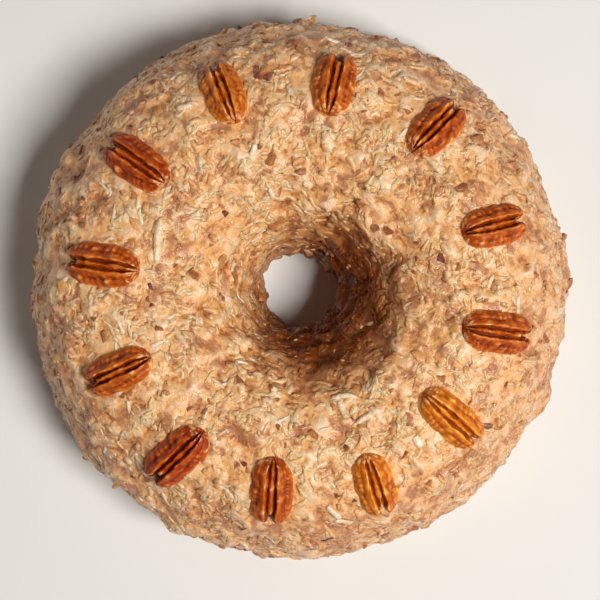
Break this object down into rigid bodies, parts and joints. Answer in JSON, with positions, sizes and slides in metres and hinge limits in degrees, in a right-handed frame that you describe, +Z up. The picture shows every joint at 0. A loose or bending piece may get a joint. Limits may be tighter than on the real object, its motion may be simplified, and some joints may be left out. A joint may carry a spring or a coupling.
{
  "type": "coconut pecan ring cake",
  "caption": "Tall ring cake coated all over in lumpy coconut pecan frosting, with pecan halves pressed in a circle round its shoulder and a narrow hole through its middle.",
  "frame": {"origin": "middle of the foot, on the surface that the cake stands on", "axes": "+Z up along the hole; +X towards pecan halves 12 and 01, on the right of the picture, and +Y towards halves 03 and 04, at its top"},
  "size_m": [0.2353, 0.2355, 0.0876],
  "materials": {
    "coconut_custard": "moist, lumpy cooked custard frosting full of coconut shreds and chopped pecan, soft sheen",
    "pecan": "shelled pecan half, reddish brown skin with a dull sheen"
  },
  "bodies": {
    "root": {"frosted_ring_cake": "coconut_custard", "pecan_half_01": "pecan", "pecan_half_02": "pecan", "pecan_half_03": "pecan", "pecan_half_04": "pecan", "pecan_half_05": "pecan", "pecan_half_06": "pecan", "pecan_half_07": "pecan", "pecan_half_08": "pecan", "pecan_half_09": "pecan", "pecan_half_10": "pecan", "pecan_half_11": "pecan", "pecan_half_12": "pecan"}
  },
  "joints": []
}
